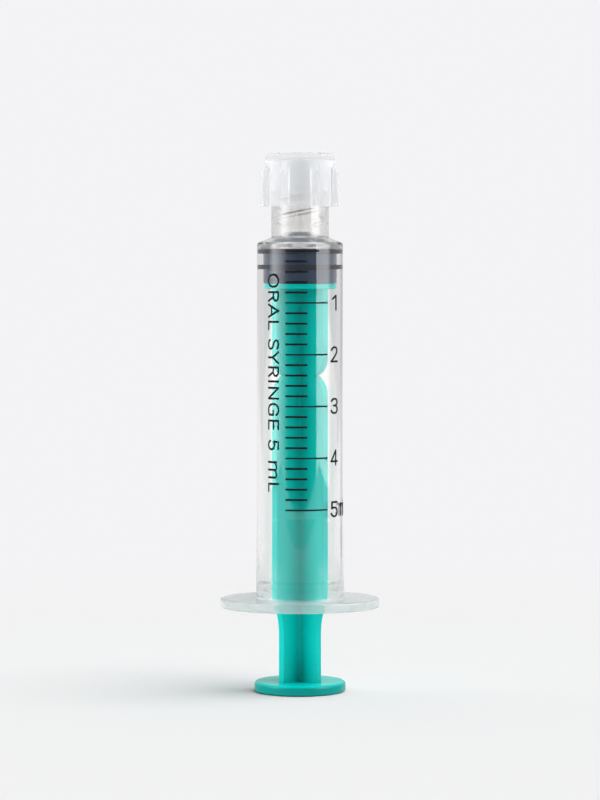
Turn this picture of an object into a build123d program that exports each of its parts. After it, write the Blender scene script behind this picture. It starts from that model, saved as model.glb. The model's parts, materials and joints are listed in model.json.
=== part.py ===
from build123d import *
import math
import os

# Oral syringe, 5 mL, with a ribbed screw cap.  Millimetres.
# The syringe stands on its thumb rest: the origin is the centre of the thumb
# rest's flat face, +Z runs up to the tip, +X lies along the finger flange's long
# side, and the printed scale faces -Y.

# Dose scale: everything about it follows from the bore.
BORE_R = 6.15
ML_LENGTH = 1000.0 / (math.pi * BORE_R**2)
CAPACITY_ML = 5
MARKS_PER_ML = 5

# Running clearances between pieces that move past each other.
RUNNING_GAP = 0.05
SEAL_GAP = 0.03

# How far two volumes of one moulding reach into each other where they join.
OVERLAP = 0.2

# Edges are picked by their place: how close counts as there, how far as elsewhere.
SAME_PLACE = 0.01
OTHER_PLACE = 0.1

# The stopper's face and the barrel's end are parallel cones.
CONE_SLOPE = 0.45

# Plunger rod: thumb rest, cross of four blades, head plate and knob.
THUMB_R = 7.5
THUMB_T = 1.65
THUMB_TOP_ROUND = 0.5
THUMB_FACE_ROUND = 0.3
BLADE_T = 1.3
BLADE_ANGLE = 45.0
SHANK_REACH = 4.35
BLADE_REACH = 5.6
FLARE_LOW_Z = 9.8
FLARE_HIGH_Z = 14.6
NOTCH_Z = 51.9
NOTCH_REACH = 3.8
NOTCH_LOW_Z = 48.7
NOTCH_HIGH_Z = 54.6
HEAD_R = 5.9
HEAD_LOW_Z = 66.05
HEAD_T = 0.85
NECK_R = 1.5
NECK_H = 1.4
KNOB_R = 2.6
KNOB_EDGE_H = 0.6
KNOB_CONE_H = 1.5
VALLEY_FILLET = 0.45
BLADE_EDGE_FILLET = 0.2
HEAD_EDGE_ROUND = 0.2

# Plunger stopper: a rubber piston with two sealing ribs.
STOPPER_BODY_R = 5.93
STOPPER_RIB_R = BORE_R - SEAL_GAP
STOPPER_TOP_Z = 72.6
RIB_H = 0.8
RIB_ROUND = 0.12
TIP_FLAT_R = 0.6
LOWER_RIB_Z = 69.65
UPPER_RIB_Z = STOPPER_TOP_Z - RIB_H / 2

# Barrel: tube, shoulder, finger flange, nozzle and threaded lock collar.
BARREL_R = 7.05
BARREL_FOOT_R = 7.24
TAPER_END_Z = 28.7
SHOULDER_Z = 73.6
SHOULDER_ROUND = 0.5
COLLAR_BASE_ROUND = 0.3
COLLAR_RIM_ROUND = 0.15
FLANGE_JOIN_ROUND = 0.4
FLANGE_Z = 13.7
FLANGE_T = 1.6
FLANGE_LONG = 26.1
FLANGE_SHORT = 20.5
FLANGE_EDGE_ROUND = 0.35
MOUTH_R = 6.5
MOUTH_H = 1.0
BEAD_Z = 17.5
BEAD_R = 5.95
BEAD_HALF_H = 0.8
NOZZLE_TAPER = 0.06
NOZZLE_TIP_R = 1.68
NOZZLE_FLARE_R = 2.0
NOZZLE_FLARE_H = 0.9
NOZZLE_TOP_Z = 84.1
NOZZLE_BORE_R = 0.6
NOZZLE_TIP_BEVEL = 0.2
COLLAR_R = 4.73
COLLAR_BORE_R = 4.02
COLLAR_BASE_Z = 74.5
COLLAR_FLOOR_Z = 74.7
COLLAR_FLOOR_SLOPE = 0.35
COLLAR_TOP_Z = 82.1
NOZZLE_FLARE_Z = COLLAR_FLOOR_Z + COLLAR_FLOOR_SLOPE * (COLLAR_BORE_R - NOZZLE_FLARE_R)
NOZZLE_ROOT_Z = NOZZLE_FLARE_Z + NOZZLE_FLARE_H
NOZZLE_BASE_R = NOZZLE_TIP_R + NOZZLE_TAPER / 2 * (NOZZLE_TOP_Z - NOZZLE_ROOT_Z)

# Lock thread: right hand, two starts, in the collar's bore.
THREAD_LEAD = 5.0
THREAD_STARTS = 2
THREAD_START_Z = 76.5
THREAD_START_ANGLE = 124.0
THREAD_ROOT_H = 0.95
THREAD_CREST_H = 0.4
THREAD_DEPTH = 0.45
THREAD_ANCHOR = 0.15

# Tip cap: ribbed skirt outside the collar, hub with two lugs inside it.
CAP_R = 5.72
CAP_BORE_R = 5.12
CAP_BOTTOM_Z = 79.6
CAP_TOP_Z = 88.35
CAP_TOP_T = 1.1
CAP_EDGE_ROUND = 0.8
CAP_CEILING_ROUND = 0.35
GRIP_EDGE_ROUND = 0.25
GRIP_COUNT = 8
GRIP_REACH = 6.8
GRIP_W = 1.25
GRIP_TOP_Z = 86.15
HUB_R = 3.25
HUB_BORE_R = 2.3
LUG_START_Z = 80.3
LUG_SWEEP = 50.0
LUG_ROOT_H = 1.2
LUG_CREST_H = 0.8
LUG_DEPTH = 0.55

# Cap seal: a soft plug in the hub that closes the nozzle's tip.
SEAL_R = HUB_BORE_R - RUNNING_GAP
SEAL_BOTTOM_Z = 81.5
SEAL_BEAD_Z = 85.5
SEAL_BEAD_R = 2.6
SEAL_BEAD_H = 0.7

# Print: ink standing just off the barrel's wall, so that no faces coincide.
PRINT_GAP = 0.01
PRINT_T = 0.03
ZERO_Z = 72.25
MARK_START_ANGLE = -19.6
SHORT_MARK_END = 9.8
LONG_MARK_END = 39.2
ZERO_MARK_END = 26.0
SHORT_MARK_H = 0.33
LONG_MARK_H = 0.26
NUMERAL_ANGLE = 52.5
NUMERAL_H = 2.65
NUMERAL_W = 1.95
NUMERAL_ONE_W = 1.25
UNIT_ANGLE = 86.5
UNIT_SIZE = (4.8, 2.65)
LEGEND = "ORAL SYRINGE 5 mL"
LEGEND_ANGLE = -38.0
LEGEND_SIZE = (35.6, 2.3)
LEGEND_CENTRE_Z = 50.8
DRAWN_TEXT_SIZE = 10.0
DRAWN_STROKE_W = 0.95
TEXT_STAND_OFF = 0.5
TEXT_PRISM_DEPTH = 1.5


def outline_face(points):
    """Closed face in the XZ plane through (radius, height) points."""
    return make_face(Plane.XZ * Polyline(*points, close=True))


def disc(radius, low_z, height):
    """Upright round disc standing on low_z."""
    aligned = (Align.CENTER, Align.CENTER, Align.MIN)
    return Pos(0, 0, low_z) * Cylinder(radius, height, align=aligned)


def ring_edges(solid, radius, height):
    """Round edges of one radius at one height."""
    circles = solid.edges().filter_by(GeomType.CIRCLE)
    sized = [e for e in circles if abs(e.radius - radius) < SAME_PLACE]
    return [e for e in sized if abs(e.center().Z - height) < SAME_PLACE]


def helical_rib(radius, depth, root_h, crest_h, start_angle, start_z, sweep_deg, inward):
    """Right-hand helical rib on a round wall; root sunk into the wall, crest at depth."""
    side = -1.0 if inward else 1.0
    path = Helix(THREAD_LEAD, THREAD_LEAD * sweep_deg / 360.0, radius)
    root = -side * THREAD_ANCHOR
    crest = side * depth
    section = Polyline(
        (root, -root_h / 2),
        (crest, -crest_h / 2),
        (crest, crest_h / 2),
        (root, root_h / 2),
        close=True,
    )
    plane = Plane(origin=path @ 0, x_dir=(1, 0, 0), z_dir=path % 0)
    rib = sweep(plane * make_face(section), path=path, is_frenet=True)
    return Pos(0, 0, start_z) * Rot(0, 0, start_angle) * rib


# ---------------------------------------------------------------- plunger rod


def blade_plate():
    """One upright plate of the cross, its break-off notch and flare on both edges."""
    low = THUMB_T / 2
    high = HEAD_LOW_Z + HEAD_T / 2
    flare_low = (SHANK_REACH, FLARE_LOW_Z)
    flare_high = (BLADE_REACH, FLARE_HIGH_Z)
    notch = (NOTCH_REACH, NOTCH_Z)
    side = [
        Line((SHANK_REACH, low), flare_low),
        TangentArc(flare_low, flare_high, tangent=(0, 1)),
        Line(flare_high, (BLADE_REACH, NOTCH_LOW_Z)),
        TangentArc((BLADE_REACH, NOTCH_LOW_Z), notch, tangent=(0, 1)),
        TangentArc((BLADE_REACH, NOTCH_HIGH_Z), notch, tangent=(0, -1)),
        Line((BLADE_REACH, NOTCH_HIGH_Z), (BLADE_REACH, high)),
    ]
    other_side = [mirror(edge, Plane.YZ) for edge in side]
    foot = Line((-SHANK_REACH, low), (SHANK_REACH, low))
    top = Line((-BLADE_REACH, high), (BLADE_REACH, high))
    outline = Plane.XZ * make_face(side + other_side + [foot, top])
    plate = extrude(outline, BLADE_T / 2, both=True)
    flat_sides = plate.faces().filter_by(Axis.Y)
    long_edges = [e for face in flat_sides for e in face.edges() if abs(e.center().X) > BLADE_T]
    return fillet(long_edges, BLADE_EDGE_FILLET)


def plunger_rod():
    cross = Rot(0, 0, BLADE_ANGLE) * blade_plate() + Rot(0, 0, -BLADE_ANGLE) * blade_plate()
    valleys = [e for e in cross.edges().filter_by(Axis.Z) if math.hypot(e.center().X, e.center().Y) < BLADE_T]
    cross = fillet(valleys, VALLEY_FILLET)
    thumb_rest = disc(THUMB_R, 0, THUMB_T)
    thumb_rest = fillet(ring_edges(thumb_rest, THUMB_R, THUMB_T), THUMB_TOP_ROUND)
    thumb_rest = fillet(ring_edges(thumb_rest, THUMB_R, 0), THUMB_FACE_ROUND)
    head = disc(HEAD_R, HEAD_LOW_Z, HEAD_T)
    head = fillet(ring_edges(head, HEAD_R, HEAD_LOW_Z), HEAD_EDGE_ROUND)
    neck_z = HEAD_LOW_Z + HEAD_T
    edge_z = neck_z + NECK_H
    cone_z = edge_z + KNOB_EDGE_H
    knob = revolve(
        outline_face(
            [
                (0, neck_z - OVERLAP),
                (NECK_R, neck_z - OVERLAP),
                (NECK_R, edge_z),
                (KNOB_R, edge_z),
                (KNOB_R, cone_z),
                (NECK_R, cone_z + KNOB_CONE_H),
                (0, cone_z + KNOB_CONE_H),
            ]
        ),
        Axis.Z,
    )
    return cross + thumb_rest + head + knob


# ------------------------------------------------------------ plunger stopper


def sealing_rib(centre_z):
    """Round-edged sealing rib around the stopper."""
    rib = disc(STOPPER_RIB_R, centre_z - RIB_H / 2, RIB_H)
    rib = fillet(ring_edges(rib, STOPPER_RIB_R, centre_z - RIB_H / 2), RIB_ROUND)
    return fillet(ring_edges(rib, STOPPER_RIB_R, centre_z + RIB_H / 2), RIB_ROUND)


def knob_socket():
    """Hollow that snaps over the rod's knob, with running clearance all round."""
    floor_z = HEAD_LOW_Z + HEAD_T
    edge_z = floor_z + NECK_H - RUNNING_GAP
    cone_z = floor_z + NECK_H + KNOB_EDGE_H + RUNNING_GAP
    return revolve(
        outline_face(
            [
                (0, floor_z),
                (NECK_R + RUNNING_GAP, floor_z),
                (NECK_R + RUNNING_GAP, edge_z),
                (KNOB_R + RUNNING_GAP, edge_z),
                (KNOB_R + RUNNING_GAP, cone_z),
                (NECK_R + RUNNING_GAP, cone_z + KNOB_CONE_H),
                (0, cone_z + KNOB_CONE_H),
            ]
        ),
        Axis.Z,
    )


def plunger_stopper():
    base_z = HEAD_LOW_Z + HEAD_T + RUNNING_GAP
    tip_z = STOPPER_TOP_Z + CONE_SLOPE * (STOPPER_BODY_R - TIP_FLAT_R)
    body = revolve(
        outline_face(
            [
                (0, base_z),
                (STOPPER_BODY_R, base_z),
                (STOPPER_BODY_R, STOPPER_TOP_Z),
                (TIP_FLAT_R, tip_z),
                (0, tip_z),
            ]
        ),
        Axis.Z,
    )
    body += sealing_rib(LOWER_RIB_Z)
    body += sealing_rib(UPPER_RIB_Z)
    return body - knob_socket()


# --------------------------------------------------------------------- barrel


def finger_flange():
    """Oval plate around the open end, with rounded edges."""
    plate = extrude(Pos(0, 0, FLANGE_Z) * Ellipse(FLANGE_LONG / 2, FLANGE_SHORT / 2), FLANGE_T)
    rims = plate.edges().filter_by(GeomType.ELLIPSE)
    return fillet(rims, FLANGE_EDGE_ROUND)


def barrel_outside():
    """Tapered tube, shoulder and collar, all solid."""
    tube = revolve(
        outline_face(
            [
                (0, FLANGE_Z + OVERLAP),
                (BARREL_FOOT_R, FLANGE_Z + OVERLAP),
                (BARREL_FOOT_R, FLANGE_Z + FLANGE_T),
                (BARREL_R, TAPER_END_Z),
                (BARREL_R, SHOULDER_Z),
                (COLLAR_R, COLLAR_BASE_Z),
                (COLLAR_R, COLLAR_TOP_Z),
                (0, COLLAR_TOP_Z),
            ]
        ),
        Axis.Z,
    )
    tube = fillet(ring_edges(tube, BARREL_R, SHOULDER_Z), SHOULDER_ROUND)
    tube = fillet(ring_edges(tube, COLLAR_R, COLLAR_BASE_Z), COLLAR_BASE_ROUND)
    tube = fillet(ring_edges(tube, COLLAR_R, COLLAR_TOP_Z), COLLAR_RIM_ROUND)
    tube += finger_flange()
    junction = ring_edges(tube, BARREL_FOOT_R, FLANGE_Z + FLANGE_T)
    return fillet(junction, FLANGE_JOIN_ROUND)


def barrel_inside():
    """Space inside the tube: flared mouth, retaining bead, bore and cone."""
    bead_low = (BORE_R, BEAD_Z - BEAD_HALF_H)
    bead_high = (BORE_R, BEAD_Z + BEAD_HALF_H)
    cone_base_z = STOPPER_TOP_Z + RUNNING_GAP
    cone_tip_z = cone_base_z + CONE_SLOPE * BORE_R
    wall = [
        Line((0, FLANGE_Z), (MOUTH_R, FLANGE_Z)),
        Line((MOUTH_R, FLANGE_Z), (BORE_R, FLANGE_Z + MOUTH_H)),
        Line((BORE_R, FLANGE_Z + MOUTH_H), bead_low),
        ThreePointArc(bead_low, (BEAD_R, BEAD_Z), bead_high),
        Line(bead_high, (BORE_R, cone_base_z)),
        Line((BORE_R, cone_base_z), (0, cone_tip_z)),
        Line((0, cone_tip_z), (0, FLANGE_Z)),
    ]
    return revolve(Plane.XZ * make_face(wall), Axis.Z)


def collar_space():
    """Hollow of the collar, its floor rising towards the nozzle."""
    return revolve(
        outline_face(
            [
                (0, COLLAR_FLOOR_Z + COLLAR_FLOOR_SLOPE * COLLAR_BORE_R),
                (COLLAR_BORE_R, COLLAR_FLOOR_Z),
                (COLLAR_BORE_R, COLLAR_TOP_Z),
                (0, COLLAR_TOP_Z),
            ]
        ),
        Axis.Z,
    )


def nozzle():
    """Tapered outlet in the middle of the collar, on a flared root."""
    low_z = COLLAR_FLOOR_Z - OVERLAP
    return revolve(
        outline_face(
            [
                (0, low_z),
                (NOZZLE_FLARE_R, low_z),
                (NOZZLE_FLARE_R, NOZZLE_FLARE_Z),
                (NOZZLE_BASE_R, NOZZLE_ROOT_Z),
                (NOZZLE_TIP_R, NOZZLE_TOP_Z - NOZZLE_TIP_BEVEL),
                (NOZZLE_TIP_R - NOZZLE_TIP_BEVEL, NOZZLE_TOP_Z),
                (0, NOZZLE_TOP_Z),
            ]
        ),
        Axis.Z,
    )


def lock_thread():
    """Two ridges on the collar's wall, one for each start."""
    turn = 360.0 * (COLLAR_TOP_Z - THREAD_START_Z - THREAD_ROOT_H) / THREAD_LEAD
    return [
        helical_rib(
            COLLAR_BORE_R,
            THREAD_DEPTH,
            THREAD_ROOT_H,
            THREAD_CREST_H,
            THREAD_START_ANGLE + 360.0 / THREAD_STARTS * start,
            THREAD_START_Z,
            turn,
            inward=True,
        )
        for start in range(THREAD_STARTS)
    ]


def barrel():
    body = barrel_outside() - collar_space()
    for ridge in lock_thread():
        body += ridge
    body += nozzle()
    body -= barrel_inside()
    return body - disc(NOZZLE_BORE_R, STOPPER_TOP_Z, NOZZLE_TOP_Z - STOPPER_TOP_Z)


# -------------------------------------------------------------------- tip cap


def grip_rib(angle):
    """Upright finger rib on the skirt, its top cut back at 45 degrees."""
    root = CAP_R - OVERLAP
    rise = GRIP_REACH - CAP_R
    outline = outline_face(
        [
            (root, CAP_BOTTOM_Z),
            (GRIP_REACH, CAP_BOTTOM_Z),
            (GRIP_REACH, GRIP_TOP_Z - rise),
            (CAP_R, GRIP_TOP_Z),
            (root, GRIP_TOP_Z),
        ]
    )
    rib = extrude(outline, GRIP_W / 2, both=True)
    outer = [e for e in rib.edges() if e.center().X > CAP_R + OTHER_PLACE]
    on_sides = [e for e in outer if abs(e.center().Y) > GRIP_W / 4]
    upright = [e for e in on_sides if e.center().Z > CAP_BOTTOM_Z + OTHER_PLACE]
    return Rot(0, 0, angle) * fillet(upright, GRIP_EDGE_ROUND)


def cap_lugs():
    """Two lugs on the hub, midway between the collar's ridges."""
    half_pitch = THREAD_LEAD / THREAD_STARTS / 2
    climbed = LUG_START_Z - THREAD_START_Z - half_pitch
    first_angle = THREAD_START_ANGLE + 360.0 * climbed / THREAD_LEAD
    return [
        helical_rib(
            HUB_R,
            LUG_DEPTH,
            LUG_ROOT_H,
            LUG_CREST_H,
            first_angle + 360.0 / THREAD_STARTS * start,
            LUG_START_Z,
            LUG_SWEEP,
            inward=False,
        )
        for start in range(THREAD_STARTS)
    ]


def seal_pocket():
    """Hollow in the hub for the seal, with a groove that holds the seal's bead."""
    ceiling_z = CAP_TOP_Z - CAP_TOP_T
    pocket = disc(HUB_BORE_R, CAP_BOTTOM_Z, ceiling_z - CAP_BOTTOM_Z)
    groove_low = SEAL_BEAD_Z - SEAL_BEAD_H / 2 - RUNNING_GAP
    groove = disc(SEAL_BEAD_R + RUNNING_GAP, groove_low, SEAL_BEAD_H + 2 * RUNNING_GAP)
    return pocket + groove


def tip_cap():
    ceiling_z = CAP_TOP_Z - CAP_TOP_T
    shell = disc(CAP_R, CAP_BOTTOM_Z, CAP_TOP_Z - CAP_BOTTOM_Z)
    shell = fillet(ring_edges(shell, CAP_R, CAP_TOP_Z), CAP_EDGE_ROUND)
    inside = disc(CAP_BORE_R, CAP_BOTTOM_Z, ceiling_z - CAP_BOTTOM_Z)
    inside = fillet(ring_edges(inside, CAP_BORE_R, ceiling_z), CAP_CEILING_ROUND)
    shell -= inside
    for index in range(GRIP_COUNT):
        shell += grip_rib((index + 0.5) * 360.0 / GRIP_COUNT)
    hub = disc(HUB_R, CAP_BOTTOM_Z, ceiling_z + OVERLAP - CAP_BOTTOM_Z)
    for lug in cap_lugs():
        hub += lug
    shell += hub
    return shell - seal_pocket()


def cap_seal():
    ceiling_z = CAP_TOP_Z - CAP_TOP_T
    plug = disc(SEAL_R, SEAL_BOTTOM_Z, ceiling_z - RUNNING_GAP - SEAL_BOTTOM_Z)
    plug += disc(SEAL_BEAD_R, SEAL_BEAD_Z - SEAL_BEAD_H / 2, SEAL_BEAD_H)
    mouth_r = NOZZLE_TIP_R + RUNNING_GAP + NOZZLE_TAPER / 2 * (NOZZLE_TOP_Z - SEAL_BOTTOM_Z)
    socket = revolve(
        outline_face(
            [
                (0, SEAL_BOTTOM_Z),
                (mouth_r, SEAL_BOTTOM_Z),
                (NOZZLE_TIP_R + RUNNING_GAP, NOZZLE_TOP_Z + RUNNING_GAP),
                (0, NOZZLE_TOP_Z + RUNNING_GAP),
            ]
        ),
        Axis.Z,
    )
    return plug - socket


# ---------------------------------------------------------------------- print


def mark(height, centre_z, end_angle):
    """One line of the scale, wrapped around the barrel from the common left edge."""
    inner = BARREL_R + PRINT_GAP
    profile = outline_face(
        [
            (inner, centre_z - height / 2),
            (inner + PRINT_T, centre_z - height / 2),
            (inner + PRINT_T, centre_z + height / 2),
            (inner, centre_z + height / 2),
        ]
    )
    line = revolve(profile, Axis.Z, end_angle - MARK_START_ANGLE)
    return Rot(0, 0, MARK_START_ANGLE - 90.0) * line


def graduation_marks():
    """Scale lines: long ones at each whole millilitre, short ones between."""
    marks = []
    for step in range(CAPACITY_ML * MARKS_PER_ML + 1):
        z = ZERO_Z - step * ML_LENGTH / MARKS_PER_ML
        if step == 0:
            marks.append(mark(LONG_MARK_H, z, ZERO_MARK_END))
        elif step % MARKS_PER_ML == 0:
            marks.append(mark(LONG_MARK_H, z, LONG_MARK_END))
        else:
            marks.append(mark(SHORT_MARK_H, z, SHORT_MARK_END))
    return Compound(marks)


def flat_text(text, size):
    """Lettering in the XY plane, centred, with a given width and height."""
    drawn = Text(text, DRAWN_TEXT_SIZE, "singleline", single_line_width=DRAWN_STROKE_W)
    drawn_size = drawn.bounding_box().size
    fitted = scale(drawn, by=(size[0] / drawn_size.X, size[1] / drawn_size.Y, 1.0))
    centre = fitted.bounding_box().center()
    return Pos(-centre.X, -centre.Y, 0) * fitted


def printed_text(text, size, angle, centre_z, turned=0.0):
    """Lettering wrapped on the barrel around one angle, as separate letters."""
    front = Plane.XZ.offset(BARREL_R + TEXT_STAND_OFF)
    letters = extrude(front * Rot(0, 0, turned) * flat_text(text, size), -TEXT_PRISM_DEPTH)
    height = 2 * max(size)
    skin = Cylinder(BARREL_R + PRINT_GAP + PRINT_T, height) - Cylinder(BARREL_R + PRINT_GAP, height)
    place = Pos(0, 0, centre_z) * Rot(0, 0, angle)
    return [place * printed for letter in letters.solids() for printed in (letter & skin).solids()]


def dose_numerals():
    """A numeral at the end of each long line, and the unit after the last one."""
    pieces = []
    for millilitre in range(1, CAPACITY_ML + 1):
        z = ZERO_Z - millilitre * ML_LENGTH
        width = NUMERAL_ONE_W if millilitre == 1 else NUMERAL_W
        pieces.extend(printed_text(str(millilitre), (width, NUMERAL_H), NUMERAL_ANGLE, z))
    pieces.extend(printed_text("mL", UNIT_SIZE, UNIT_ANGLE, z))
    return Compound(pieces)


def side_legend():
    """Generic legend that reads downwards along the scale."""
    return Compound(printed_text(LEGEND, LEGEND_SIZE, LEGEND_ANGLE, LEGEND_CENTRE_Z, turned=-90.0))


# ---------------------------------------------------------------------- parts

PIECES = {
    "plunger_rod": plunger_rod,
    "plunger_stopper": plunger_stopper,
    "barrel": barrel,
    "tip_cap": tip_cap,
    "cap_seal": cap_seal,
    "graduation_marks": graduation_marks,
    "dose_numerals": dose_numerals,
    "side_legend": side_legend,
}

os.makedirs("parts", exist_ok=True)
for name, make_piece in PIECES.items():
    export_step(make_piece(), os.path.join("parts", name + ".step"))
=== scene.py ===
import bpy
import bmesh
import math
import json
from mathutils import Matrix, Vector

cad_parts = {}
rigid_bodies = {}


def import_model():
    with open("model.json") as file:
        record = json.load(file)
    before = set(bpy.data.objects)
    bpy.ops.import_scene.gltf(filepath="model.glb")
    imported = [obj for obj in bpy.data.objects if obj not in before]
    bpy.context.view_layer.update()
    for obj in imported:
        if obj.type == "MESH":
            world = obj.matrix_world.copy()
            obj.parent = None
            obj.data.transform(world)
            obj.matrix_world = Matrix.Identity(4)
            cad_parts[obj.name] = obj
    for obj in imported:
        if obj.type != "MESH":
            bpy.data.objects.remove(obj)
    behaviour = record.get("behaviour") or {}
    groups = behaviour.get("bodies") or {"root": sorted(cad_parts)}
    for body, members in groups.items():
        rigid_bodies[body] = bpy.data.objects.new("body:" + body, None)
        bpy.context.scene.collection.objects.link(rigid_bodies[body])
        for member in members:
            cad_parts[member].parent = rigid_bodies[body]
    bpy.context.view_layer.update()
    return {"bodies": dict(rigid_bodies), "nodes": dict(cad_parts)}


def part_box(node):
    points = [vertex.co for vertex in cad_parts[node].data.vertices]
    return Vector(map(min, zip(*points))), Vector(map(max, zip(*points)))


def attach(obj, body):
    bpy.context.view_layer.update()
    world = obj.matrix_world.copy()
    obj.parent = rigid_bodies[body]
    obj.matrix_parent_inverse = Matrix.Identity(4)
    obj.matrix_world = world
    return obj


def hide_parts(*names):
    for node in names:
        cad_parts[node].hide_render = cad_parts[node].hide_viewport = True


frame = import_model()

MM = 0.001

# Camera: level portrait lens with its frame shifted down, near the stopper's height. The shift
# fades out within SHIFT_FADE metres of the camera's own place. The camera moves STEP_BACK metres
# back as the barrel is drawn up by the plunger's whole stroke.
CAMERA_DISTANCE = 0.5
CAMERA_HEIGHT = 0.0709
CAMERA_CLIP = 0.01
FRAME_SHIFT = -0.1758
SHIFT_FADE = 0.02
LENS_MM = 136.8
SENSOR_MM = 36.0
PLUNGER_STROKE = 0.048
STEP_BACK = 0.42

# Studio: one pale tone for the backdrop and the table. The room is dark on the camera's side
# and grows pale across BACKDROP_EDGE, in the forward part of a ray's direction.
BACKDROP = (0.896, 0.896, 0.913)
BACKDROP_GLOW = 0.78
BACKDROP_EDGE = (-0.15, 0.25)
STUDIO_DARK = 0.002

# Table: it takes shadows within the first of SHADE_SPAN's distances and glows past the second.
TABLE_FRONT = -0.36
TABLE_SIDE = 0.45
TABLE_BACK = 3.0
TABLE_ALBEDO = 0.82
SHADE_SPAN = (0.10, 0.24)

# Key: a high soft light from the right, as azimuth, elevation, spread (degrees) and strength.
KEY = (78, 72, 36, 2.5)

# Low fills, kept off the table: each has an azimuth in degrees and a strength.
FILL_ELEVATION = 12
FILL_SPREAD = 60
FILLS = {"fill_left": (-76, 4.1), "fill_right": (76, 2.3), "fill_front": (0, 0.55)}

# Tall softboxes that only show as reflections. Each has an azimuth in degrees, a width, a power
# and two upright edges. An edge is the (dark, bright) pair of places across the width, 0 to 1.
SOFTBOX_DISTANCE = 0.7
SOFTBOX_HEIGHT = 1.4
SOFTBOX_CENTRE_Z = 0.3
SOFTBOXES = {
    "softbox_right": (69, 0.66, 19.0, ((0.0, 0.04), (1.0, 0.6))),
    "softbox_left": (-62, 0.9, 28.0, ((1.0, 0.25), (0.0, 0.4))),
}

# Stopper as squeezed into the bore (in millimetres): its two ribs press on the barrel's wall.
# CAD_BODY_R is the unsqueezed body, which fixes where the cone starts.
BORE_R = 6.15
BODY_R = 6.04
CAD_BODY_R = 5.93
PRESS = 0.03
RIB_H = 0.8
RIB_ROUND = 0.12
RIB_STEP = 2.55
RIB_NECK_H = 0.1
RIB_NECK_ROUND = 0.08
RIB_NECK_GAP = 0.02
FOOT_ROUND = 0.15
FOOT_FLAT_INSET = 0.2
CONE_INSET = 0.1
CONE_SLOPE = 0.45
TIP_FLAT_R = 0.6
LATHE_SEGMENTS = 160

# Gaps over the stopper's body radius (in millimetres) between which a rib's wet face begins.
WET_FACE_GAPS = (0.01, 0.06)

# Below QUIET_FOOT_Z (in metres) the rod's colour doesn't spill on the table, and below
# PAINTED_RIM_SHADE_Z the thumb rest's rim keeps only PAINTED_RIM_SHADE of its colour: painted
# shade that darkens the rim towards its bottom edge.
QUIET_FOOT_Z = (0.003, 0.008)
QUIET_GREY = 0.03
PAINTED_RIM_SHADE_Z = (0.0012, 0.0018)
PAINTED_RIM_SHADE = 0.52

# Finish of the barrel's plastic, and the heights (in metres) between which it changes.
TUBE_ROUGHNESS = 0.03
COLLAR_ROUGHNESS = 0.17
COLLAR_SATIN_Z = (0.0738, 0.0752)
FOOT_ROUGHNESS = 0.14
FOOT_SATIN_Z = (0.0235, 0.0195)
TUBE_HAZE = 0.002
FOOT_HAZE = 0.011
FOOT_HAZE_Z = (0.031, 0.027)
FLANGE_HAZE = 0.3
FLANGE_HAZE_Z = (0.0158, 0.0150)
HAZE_DRIFT = (0.85, 1.15)
POLISH_DRIFT = (0.7, 1.4)


# ------------------------------------------------------------- node helpers


def new_material(name):
    material = bpy.data.materials.new(name)
    material.use_nodes = True
    material.node_tree.nodes.clear()
    return material


def node(tree, kind, **values):
    """Adds a node; keys are input names (with _ for spaces) or node properties."""
    made = tree.nodes.new("ShaderNode" + kind)
    for key, value in values.items():
        label = key.replace("_", " ")
        if label in made.inputs:
            made.inputs[label].default_value = value
        else:
            setattr(made, key, value)
    return made


def link(tree, source, output, target, entry):
    tree.links.new(source.outputs[output], target.inputs[entry])


def math_node(tree, operation, first, second):
    """A Math node whose two inputs are numbers or (node, output) pairs."""
    made = node(tree, "Math", operation=operation)
    for index, value in enumerate((first, second)):
        if isinstance(value, tuple):
            tree.links.new(value[0].outputs[value[1]], made.inputs[index])
        else:
            made.inputs[index].default_value = value
    return made


def mix_shaders(tree, amount, first, second):
    """Mixes two shaders by a number or a (node, output) pair: 0 is the first, 1 the second."""
    made = node(tree, "MixShader")
    if isinstance(amount, tuple):
        link(tree, amount[0], amount[1], made, 0)
    else:
        made.inputs[0].default_value = amount
    link(tree, first, 0, made, 1)
    link(tree, second, 0, made, 2)
    return made


def output_surface(tree, shader):
    out = node(tree, "OutputMaterial")
    link(tree, shader, 0, out, "Surface")


def noise(tree, scale, detail=4.0):
    place = node(tree, "TexCoord")
    made = node(tree, "TexNoise", Scale=scale, Detail=detail, Roughness=0.5)
    link(tree, place, "Object", made, "Vector")
    return made


def ranged(tree, source, output, low, high):
    """Maps a 0 to 1 value onto low to high."""
    made = node(tree, "MapRange", To_Min=low, To_Max=high)
    link(tree, source, output, made, "Value")
    return made


def ramp(tree, source, output, span, low=0.0, high=1.0):
    """Goes smoothly from low to high as a value goes from one end of a span to the other."""
    made = node(tree, "MapRange", interpolation_type="SMOOTHSTEP", To_Min=low, To_Max=high)
    made.inputs["From Min"].default_value = span[0]
    made.inputs["From Max"].default_value = span[1]
    link(tree, source, output, made, "Value")
    return made


def height_ramp(tree, span, low, high):
    """A value that goes smoothly from low at one height to high at another."""
    place = node(tree, "TexCoord")
    split = node(tree, "SeparateXYZ")
    link(tree, place, "Object", split, "Vector")
    return ramp(tree, split, "Z", span, low, high)


def bump(tree, source, distance, strength):
    made = node(tree, "Bump", Distance=distance, Strength=strength)
    link(tree, source, "Fac", made, "Height")
    return made


def two_tone(tree, source, first, second):
    """A colour that drifts between two tones with a noise."""
    made = node(tree, "Mix", data_type="RGBA")
    made.inputs["A"].default_value = (*first, 1)
    made.inputs["B"].default_value = (*second, 1)
    link(tree, source, "Fac", made, "Factor")
    return made


def pass_light(tree, shader, tint):
    """Lets shadow rays and diffuse bounces straight through a clear shader."""
    path = node(tree, "LightPath")
    either = math_node(tree, "MAXIMUM", (path, "Is Shadow Ray"), (path, "Is Diffuse Ray"))
    clear = node(tree, "BsdfTransparent", Color=(*tint, 1))
    return mix_shaders(tree, (either, 0), shader, clear)


# ---------------------------------------------------------------- materials


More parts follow.
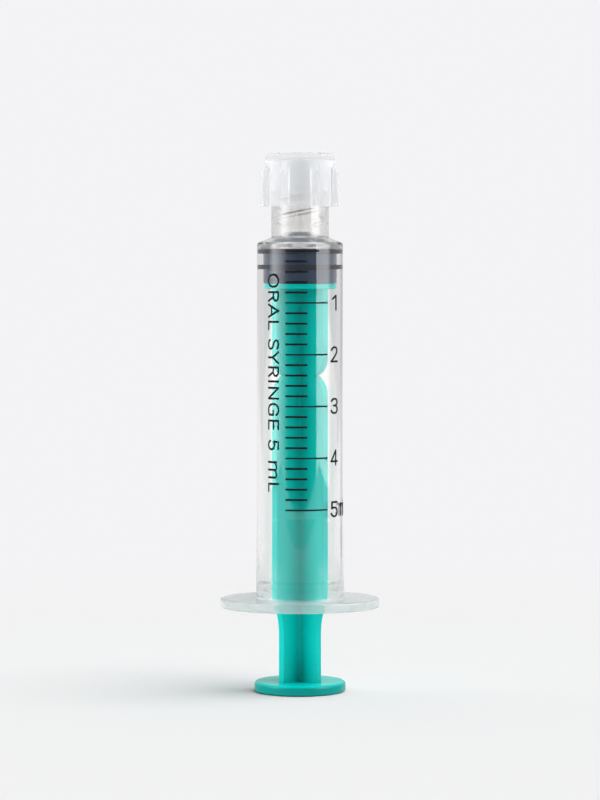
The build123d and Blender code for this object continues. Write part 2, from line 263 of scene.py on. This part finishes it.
def clear_plastic(name, tint, roughness, haze, haze_tint, ior, shadow_tint, grain):
    """Clear moulded plastic with a little milkiness and a faint surface waviness.

    roughness and haze are numbers, or functions that add nodes to a tree and return a
    (node, output) pair with the value at each place.
    """
    material = new_material(name)
    tree = material.node_tree
    glass = node(tree, "BsdfPrincipled", IOR=ior)
    glass.inputs["Transmission Weight"].default_value = 1.0
    glass.inputs["Base Color"].default_value = (*tint, 1)
    smear = noise(tree, scale=400.0)
    uneven = ranged(tree, smear, "Fac", *POLISH_DRIFT)
    base = roughness(tree) if callable(roughness) else roughness
    rough = math_node(tree, "MULTIPLY", (uneven, 0), base)
    link(tree, rough, 0, glass, "Roughness")
    waves = noise(tree, scale=grain, detail=2.0)
    relief = bump(tree, waves, distance=0.00001, strength=0.15)
    link(tree, relief, 0, glass, "Normal")
    front = node(tree, "BsdfDiffuse", Color=(*haze_tint, 1))
    through = node(tree, "BsdfTranslucent", Color=(*haze_tint, 1))
    milk = mix_shaders(tree, 0.5, front, through)
    amount = haze(tree) if callable(haze) else haze
    body = mix_shaders(tree, amount, glass, milk)
    output_surface(tree, pass_light(tree, body, shadow_tint))
    return material


def barrel_roughness(tree):
    """Polished tube, satin collar and foot."""
    upper = height_ramp(tree, COLLAR_SATIN_Z, TUBE_ROUGHNESS, COLLAR_ROUGHNESS)
    foot = height_ramp(tree, FOOT_SATIN_Z, 0.0, FOOT_ROUGHNESS)
    return math_node(tree, "ADD", (upper, 0), (foot, 0)), 0


def barrel_haze(tree):
    """Milkiness of the barrel: faint in the tube, more in its foot, strong in the flange."""
    drift = noise(tree, scale=60.0)
    total = TUBE_HAZE
    for amount, span in ((FOOT_HAZE, FOOT_HAZE_Z), (FLANGE_HAZE, FLANGE_HAZE_Z)):
        low = height_ramp(tree, span, 0.0, 1.0)
        cloudy = ranged(tree, drift, "Fac", amount * HAZE_DRIFT[0], amount * HAZE_DRIFT[1])
        layer = math_node(tree, "MULTIPLY", (low, 0), (cloudy, 0))
        total = (math_node(tree, "ADD", (layer, 0), total), 0)
    return total


def teal_plastic():
    """Opaque teal polyethylene: soft gloss, fine mould grain, slight colour drift.

    The thumb rest and the foot of the blades reflect no teal on to the table, which stays
    neutral beside them. The thumb rest's rim has painted shade: its colour darkens towards
    its bottom edge.
    """
    material = new_material("teal_polyethylene")
    tree = material.node_tree
    skin = node(tree, "BsdfPrincipled", IOR=1.5)
    drift = noise(tree, scale=120.0)
    colour = two_tone(tree, drift, (0.0, 0.49, 0.44), (0.0, 0.54, 0.485))
    # Painted shade: the colour darkens towards the bottom of the thumb rest's rim.
    painted_rim_shade = node(tree, "VectorMath", operation="SCALE")
    link(tree, colour, "Result", painted_rim_shade, 0)
    link(tree, height_ramp(tree, PAINTED_RIM_SHADE_Z, PAINTED_RIM_SHADE, 1.0), 0, painted_rim_shade, "Scale")
    link(tree, painted_rim_shade, 0, skin, "Base Color")
    grain = noise(tree, scale=9000.0, detail=2.0)
    rough = ranged(tree, grain, "Fac", low=0.18, high=0.28)
    link(tree, rough, 0, skin, "Roughness")
    skin.inputs["Specular IOR Level"].default_value = 0.12
    relief = bump(tree, grain, distance=0.000004, strength=0.4)
    link(tree, relief, 0, skin, "Normal")
    path = node(tree, "LightPath")
    low = height_ramp(tree, QUIET_FOOT_Z, 1.0, 0.0)
    quiet = math_node(tree, "MULTIPLY", (path, "Is Diffuse Ray"), (low, 0))
    dull = node(tree, "BsdfDiffuse", Color=(QUIET_GREY, QUIET_GREY, QUIET_GREY, 1))
    output_surface(tree, mix_shaders(tree, (quiet, 0), skin, dull))
    return material


def rib_faces(tree):
    """1 on the sealing ribs' wet faces, 0 on the rest of the stopper."""
    place = node(tree, "TexCoord")
    flat = node(tree, "VectorMath", operation="MULTIPLY")
    flat.inputs[1].default_value = (1, 1, 0)
    link(tree, place, "Object", flat, 0)
    radius = node(tree, "VectorMath", operation="LENGTH")
    link(tree, flat, 0, radius, 0)
    span = [(BODY_R + gap) * MM for gap in WET_FACE_GAPS]
    return ramp(tree, radius, "Value", span)


def slate_rubber():
    """Dark slate rubber with a matt grain and a silicone sheen, darker on the wet ribs."""
    material = new_material("slate_rubber")
    tree = material.node_tree
    skin = node(tree, "BsdfPrincipled", IOR=1.5)
    patches = noise(tree, scale=700.0)
    colour = two_tone(tree, patches, (0.018, 0.034, 0.064), (0.026, 0.044, 0.080))
    wet = node(tree, "Mix", data_type="RGBA")
    wet.inputs["B"].default_value = (0.016, 0.019, 0.024, 1)
    link(tree, colour, "Result", wet, "A")
    link(tree, rib_faces(tree), 0, wet, "Factor")
    link(tree, wet, "Result", skin, "Base Color")
    grain = noise(tree, scale=7000.0)
    rough = ranged(tree, grain, "Fac", low=0.28, high=0.45)
    link(tree, rough, 0, skin, "Roughness")
    relief = bump(tree, grain, distance=0.000006, strength=0.5)
    link(tree, relief, 0, skin, "Normal")
    output_surface(tree, skin)
    return material


def black_ink():
    """Screen-printed ink: near black, matt, its coverage slightly uneven."""
    material = new_material("black_ink")
    tree = material.node_tree
    skin = node(tree, "BsdfPrincipled", IOR=1.5)
    cover = noise(tree, scale=6000.0)
    colour = two_tone(tree, cover, (0.002, 0.003, 0.005), (0.005, 0.006, 0.009))
    link(tree, colour, "Result", skin, "Base Color")
    skin.inputs["Specular IOR Level"].default_value = 0.1
    rough = ranged(tree, cover, "Fac", low=0.45, high=0.65)
    link(tree, rough, 0, skin, "Roughness")
    output_surface(tree, skin)
    return material


def paint(name, material):
    """Gives one CAD node its material."""
    for slot in frame["nodes"][name].material_slots:
        slot.material = material


# ------------------------------------------------------------------- pieces


def ring_of(mesh, radius, height):
    """Vertices of one level of a turned solid, or its single vertex on the axis."""
    if radius == 0:
        return [mesh.verts.new((0, 0, height * MM))]
    ring = []
    for step in range(LATHE_SEGMENTS):
        angle = 2 * math.pi * step / LATHE_SEGMENTS
        x, y = radius * MM * math.cos(angle), radius * MM * math.sin(angle)
        ring.append(mesh.verts.new((x, y, height * MM)))
    return ring


def lathe(name, outline):
    """Turned solid from (radius, height) points in millimetres, low to high."""
    mesh = bmesh.new()
    rings = [ring_of(mesh, radius, height) for radius, height in outline]
    for low, high in zip(rings, rings[1:]):
        for step in range(LATHE_SEGMENTS):
            following = (step + 1) % LATHE_SEGMENTS
            corners = [low[step % len(low)], low[following % len(low)]]
            corners += [high[following % len(high)], high[step % len(high)]]
            face = mesh.faces.new(list(dict.fromkeys(corners)))
            face.smooth = True
    bmesh.ops.recalc_face_normals(mesh, faces=mesh.faces)
    data = bpy.data.meshes.new(name)
    mesh.to_mesh(data)
    mesh.free()
    piece = bpy.data.objects.new(name, data)
    bpy.context.scene.collection.objects.link(piece)
    piece.modifiers.new("even_normals", "WEIGHTED_NORMAL").keep_sharp = True
    return piece


def rounded(centre_r, centre_z, radius, from_deg, to_deg, steps=5):
    """Points of a small arc, for the rounded corners of an outline."""
    turns = [math.radians(from_deg + (to_deg - from_deg) * k / steps) for k in range(steps + 1)]
    return [(centre_r + radius * math.cos(t), centre_z + radius * math.sin(t)) for t in turns]


def squeezed_rib(rib_z):
    """Outline of one rib pressed on the wall, from the neck under it to the body over it."""
    rib_r = BORE_R + PRESS
    neck_z = rib_z - RIB_NECK_H
    outline = [(BODY_R, neck_z)]
    outline += rounded(BODY_R + RIB_NECK_ROUND, neck_z + RIB_NECK_GAP, RIB_NECK_ROUND, 180, 90, 3)
    outline += rounded(rib_r - RIB_ROUND, rib_z + RIB_ROUND, RIB_ROUND, -90, 0)
    outline += rounded(rib_r - RIB_ROUND, rib_z + RIB_H - RIB_ROUND, RIB_ROUND, 0, 90)
    outline.append((BODY_R, rib_z + RIB_H + RIB_NECK_GAP))
    return outline


def squeezed_stopper():
    """Stopper in the shape it takes in the bore, both ribs pressed on the wall."""
    low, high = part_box("plunger_stopper")
    low_z = low[2] / MM
    tip_z = high[2] / MM
    top_z = tip_z - CONE_SLOPE * (CAD_BODY_R - TIP_FLAT_R)
    upper_rib_z = top_z - RIB_H
    outline = [(0, low_z), (BODY_R - FOOT_FLAT_INSET, low_z)]
    outline += rounded(BODY_R - FOOT_ROUND, low_z + FOOT_ROUND, FOOT_ROUND, -90, 0)
    outline += squeezed_rib(upper_rib_z - RIB_STEP)
    outline += squeezed_rib(upper_rib_z)[:-1]
    outline += [(BODY_R - CONE_INSET, top_z), (TIP_FLAT_R, tip_z), (0, tip_z)]
    return lathe("stopper_squeezed", outline)


# -------------------------------------------------------------------- stage


def softbox(name, azimuth_deg, width, power, edges):
    """Tall area light that only reflections see, fading towards its two upright edges."""
    light = bpy.data.lights.new(name, "AREA")
    light.shape = "RECTANGLE"
    light.size = width
    light.size_y = SOFTBOX_HEIGHT
    light.energy = power
    light.use_nodes = True
    tree = light.node_tree
    tree.nodes.clear()
    place = node(tree, "NewGeometry")
    split = node(tree, "SeparateXYZ")
    link(tree, place, "Parametric", split, "Vector")
    fades = [ramp(tree, split, "X", edge) for edge in edges]
    both = math_node(tree, "MULTIPLY", (fades[0], 0), (fades[1], 0))
    glow = node(tree, "Emission")
    link(tree, both, 0, glow, "Strength")
    out = node(tree, "OutputLight")
    link(tree, glow, 0, out, "Surface")
    lamp = bpy.data.objects.new(name, light)
    bpy.context.scene.collection.objects.link(lamp)
    azimuth = math.radians(azimuth_deg)
    across, ahead = math.sin(azimuth), -math.cos(azimuth)
    lamp.location = (across * SOFTBOX_DISTANCE, ahead * SOFTBOX_DISTANCE, SOFTBOX_CENTRE_Z)
    lamp.rotation_euler = (math.radians(90), 0, azimuth)
    lamp.visible_diffuse = False
    lamp.visible_transmission = False
    return lamp


def broad_light(name, azimuth_deg, elevation_deg, spread_deg, strength):
    """Very soft distant light that lights matt surfaces and casts their shadows."""
    light = bpy.data.lights.new(name, "SUN")
    light.energy = strength
    light.angle = math.radians(spread_deg)
    lamp = bpy.data.objects.new(name, light)
    bpy.context.scene.collection.objects.link(lamp)
    lamp.rotation_euler = (math.radians(90 - elevation_deg), 0, math.radians(azimuth_deg))
    lamp.visible_glossy = False
    lamp.visible_transmission = False
    return lamp


def keep_light_off(lamp, *things):
    """Leaves objects out of what a light reaches."""
    group = bpy.data.collections.new(lamp.name + "_not_on")
    for index, thing in enumerate(things):
        group.objects.link(thing)
        group.collection_objects[index].light_linking.link_state = "EXCLUDE"
    lamp.light_linking.receiver_collection = group


def studio_world():
    """Pale backdrop behind, dark room on the camera's side."""
    world = bpy.data.worlds.new("studio")
    bpy.context.scene.world = world
    world.use_nodes = True
    tree = world.node_tree
    tree.nodes.clear()
    place = node(tree, "TexCoord")
    split = node(tree, "SeparateXYZ")
    link(tree, place, "Generated", split, "Vector")
    behind = ramp(tree, split, "Y", BACKDROP_EDGE, STUDIO_DARK, BACKDROP_GLOW)
    path = node(tree, "LightPath")
    strength = node(tree, "Mix", data_type="FLOAT")
    link(tree, path, "Is Camera Ray", strength, 0)
    link(tree, behind, 0, strength, 2)
    strength.inputs[3].default_value = 1.0
    sky = node(tree, "Background", Color=(*BACKDROP, 1))
    link(tree, strength, 0, sky, "Strength")
    out = node(tree, "OutputWorld")
    link(tree, sky, 0, out, "Surface")


def table_material():
    """Pale table top: takes soft shadows near the syringe and glows evenly further off."""
    material = new_material("pale_table")
    tree = material.node_tree
    place = node(tree, "NewGeometry")
    away = node(tree, "VectorMath", operation="LENGTH")
    link(tree, place, "Position", away, 0)
    shaded = ramp(tree, away, "Value", SHADE_SPAN, 1.0, 0.0)
    glow = node(tree, "Emission", Color=(*BACKDROP, 1), Strength=1.0)
    paper = node(tree, "BsdfDiffuse", Color=(TABLE_ALBEDO, TABLE_ALBEDO, TABLE_ALBEDO, 1))
    output_surface(tree, mix_shaders(tree, (shaded, 0), glow, paper))
    return material


def make_table():
    mesh = bpy.data.meshes.new("table")
    corners = [
        (-TABLE_SIDE, TABLE_FRONT, 0),
        (TABLE_SIDE, TABLE_FRONT, 0),
        (TABLE_SIDE, TABLE_BACK, 0),
        (-TABLE_SIDE, TABLE_BACK, 0),
    ]
    mesh.from_pydata(corners, [], [(0, 1, 2, 3)])
    mesh.materials.append(table_material())
    table = bpy.data.objects.new("table", mesh)
    bpy.context.scene.collection.objects.link(table)
    return table


def light_studio(table):
    """Softboxes kept off the frosted cap, one key light, and fills kept off the table."""
    cap = [frame["nodes"][name] for name in ("tip_cap", "cap_seal")]
    for name, values in SOFTBOXES.items():
        keep_light_off(softbox(name, *values), *cap)
    broad_light("key", *KEY)
    for name, (azimuth, strength) in FILLS.items():
        lamp = broad_light(name, azimuth, FILL_ELEVATION, FILL_SPREAD, strength)
        keep_light_off(lamp, table)


def make_camera():
    data = bpy.data.cameras.new("camera")
    data.lens = LENS_MM
    data.sensor_width = SENSOR_MM
    data.shift_y = FRAME_SHIFT
    data.clip_start = CAMERA_CLIP
    camera = bpy.data.objects.new("camera", data)
    bpy.context.scene.collection.objects.link(camera)
    camera.location = (0, -CAMERA_DISTANCE, CAMERA_HEIGHT)
    camera.rotation_euler = (math.radians(90), 0, 0)
    bpy.context.scene.camera = camera
    centre_elsewhere(camera)
    step_back(camera)


def centre_elsewhere(camera):
    """Lets the frame's shift fade out as the camera leaves its own place."""
    place = bpy.data.objects.new("camera_place", None)
    bpy.context.scene.collection.objects.link(place)
    place.location = camera.location
    curve = camera.data.driver_add("shift_y")
    curve.driver.type = "SUM"
    moved = curve.driver.variables.new()
    moved.type = "LOC_DIFF"
    moved.targets[0].id = camera
    moved.targets[1].id = place
    for modifier in list(curve.modifiers):
        curve.modifiers.remove(modifier)
    curve.keyframe_points.clear()
    for distance, shift in ((0.0, FRAME_SHIFT), (SHIFT_FADE, 0.0)):
        curve.keyframe_points.insert(distance, shift).interpolation = "LINEAR"
    curve.extrapolation = "CONSTANT"


def step_back(camera):
    """Moves the camera back as the barrel is drawn up, so that the cap stays in the frame."""
    follow = camera.constraints.new("TRANSFORM")
    follow.target = frame["bodies"]["barrel"]
    follow.map_from = "LOCATION"
    follow.from_max_z = PLUNGER_STROKE
    follow.map_to = "LOCATION"
    follow.map_to_y_from = "Z"
    follow.to_max_y = -STEP_BACK


def render_look():
    """Plain colours, and enough bounces for light to cross all the clear walls."""
    scene = bpy.context.scene
    scene.view_settings.view_transform = "Standard"
    scene.cycles.max_bounces = 24
    scene.cycles.transmission_bounces = 24
    scene.cycles.transparent_max_bounces = 32
    scene.cycles.glossy_bounces = 8


# ----------------------------------------------------------------- assembly

barrel_plastic = clear_plastic(
    "clear_polypropylene",
    tint=(0.962, 0.957, 0.945),
    roughness=barrel_roughness,
    haze=barrel_haze,
    haze_tint=(0.70, 0.705, 0.715),
    ior=1.49,
    shadow_tint=(0.985, 0.985, 0.985),
    grain=90.0,
)
cap_plastic = clear_plastic(
    "translucent_polypropylene",
    tint=(0.975, 0.978, 0.98),
    roughness=0.12,
    haze=0.26,
    haze_tint=(0.86, 0.865, 0.87),
    ior=1.25,
    shadow_tint=(0.93, 0.935, 0.94),
    grain=160.0,
)
seal_plastic = clear_plastic(
    "soft_elastomer",
    tint=(0.95, 0.96, 0.97),
    roughness=0.15,
    haze=0.3,
    haze_tint=(0.84, 0.85, 0.86),
    ior=1.2,
    shadow_tint=(0.9, 0.905, 0.91),
    grain=200.0,
)
rubber = slate_rubber()
ink = black_ink()

paint("barrel", barrel_plastic)
paint("tip_cap", cap_plastic)
paint("cap_seal", seal_plastic)
paint("plunger_rod", teal_plastic())
paint("plunger_stopper", rubber)
for name in ("graduation_marks", "dose_numerals", "side_legend"):
    paint(name, ink)

stopper = squeezed_stopper()
stopper.data.materials.append(rubber)
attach(stopper, "stopper")
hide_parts("plunger_stopper")

studio_world()
light_studio(make_table())
make_camera()
render_look()
